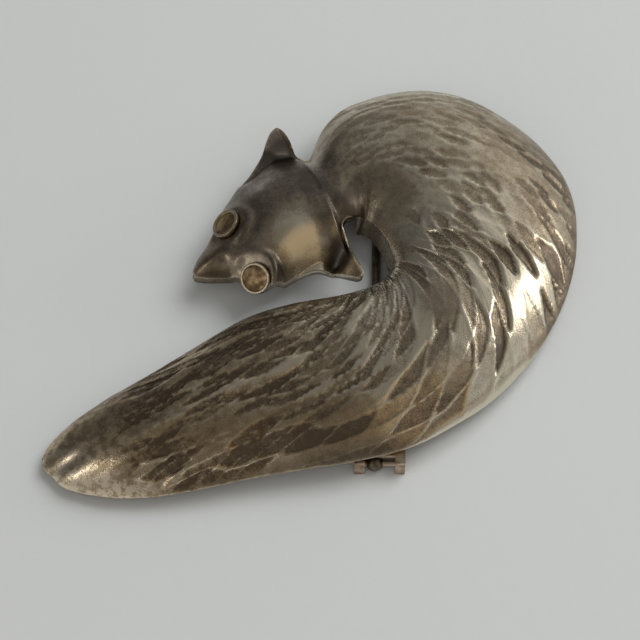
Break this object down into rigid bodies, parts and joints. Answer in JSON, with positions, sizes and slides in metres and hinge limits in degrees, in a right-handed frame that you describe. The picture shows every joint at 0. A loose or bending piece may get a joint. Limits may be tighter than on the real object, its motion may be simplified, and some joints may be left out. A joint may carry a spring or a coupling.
{
  "type": "fox brooch",
  "caption": "Curled fox brooch: a domed, pierced silver sheet with chased fur and brass eyes, and a hinged pin wire on the back.",
  "frame": {"origin": "middle of the brooch's length and width, at the surface it lies on", "axes": "+X from the tail's tip to the outer curve of the back, +Y to the shoulder, +Z out of the face"},
  "size_m": [0.058, 0.05, 0.009],
  "materials": {
    "silver": "tarnished silver, chased and softly polished",
    "eye_brass": "aged brass, satin",
    "joint_brass": "worn gilt brass, satin",
    "pin_metal": "dull nickel brass wire"
  },
  "bodies": {
    "brooch": {"fox_shell": "silver", "eye_upper": "eye_brass", "eye_lower": "eye_brass", "pin_joint": "joint_brass", "hinge_rivet": "joint_brass", "catch": "joint_brass"},
    "pin": {"pin_wire": "pin_metal"}
  },
  "joints": [
    {"name": "pin_swing", "type": "hinge", "parent": "brooch", "child": "pin", "pos_m": [0.00592, -0.02053, 0.00106], "axis": [-1, 0, 0], "range_deg": [0, 100]}
  ]
}
